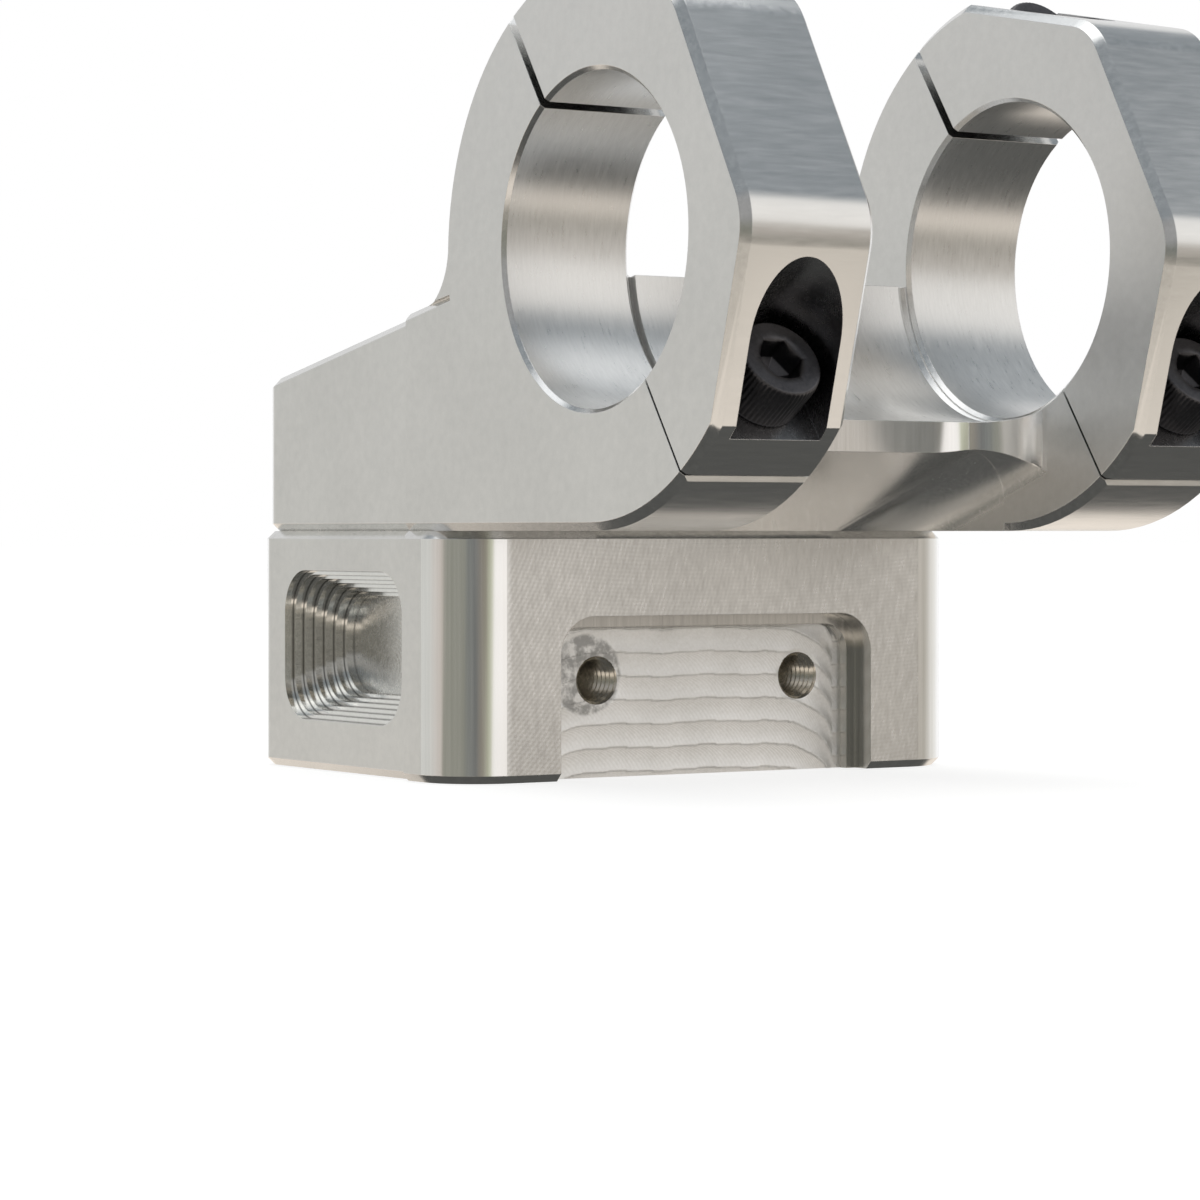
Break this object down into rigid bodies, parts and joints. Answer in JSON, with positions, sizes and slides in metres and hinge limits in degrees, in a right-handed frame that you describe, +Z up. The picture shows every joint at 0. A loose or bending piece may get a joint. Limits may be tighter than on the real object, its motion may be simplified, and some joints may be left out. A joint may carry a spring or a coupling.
{
  "type": "handlebar riser",
  "caption": "Machined spacer block with a bolted fork of slant-split bar clamps, which raises a handlebar above a fork crown.",
  "frame": {"origin": "middle of the riser block's base, which is the centre of the base bolt pattern", "axes": "+Z up, -Y forward from the block towards the bar clamps, X along the bar"},
  "size_m": [0.0644, 0.0944, 0.0798],
  "materials": {
    "machined_aluminium": "as milled, with fine cutter marks and bright chamfers",
    "black_oxide_steel": "black oxide",
    "washer_steel": "plain zinc"
  },
  "bodies": {
    "root": {"riser_block": "machined_aluminium", "clamp_body": "machined_aluminium", "left_clamp_cap": "machined_aluminium", "right_clamp_cap": "machined_aluminium", "left_lower_clamp_screw": "black_oxide_steel", "left_upper_clamp_screw": "black_oxide_steel", "right_lower_clamp_screw": "black_oxide_steel", "right_upper_clamp_screw": "black_oxide_steel", "rear_left_body_screw": "black_oxide_steel", "rear_right_body_screw": "black_oxide_steel", "front_left_body_screw": "black_oxide_steel", "front_right_body_screw": "black_oxide_steel", "rear_left_washer": "washer_steel", "rear_right_washer": "washer_steel", "front_left_washer": "washer_steel", "front_right_washer": "washer_steel"}
  },
  "joints": []
}
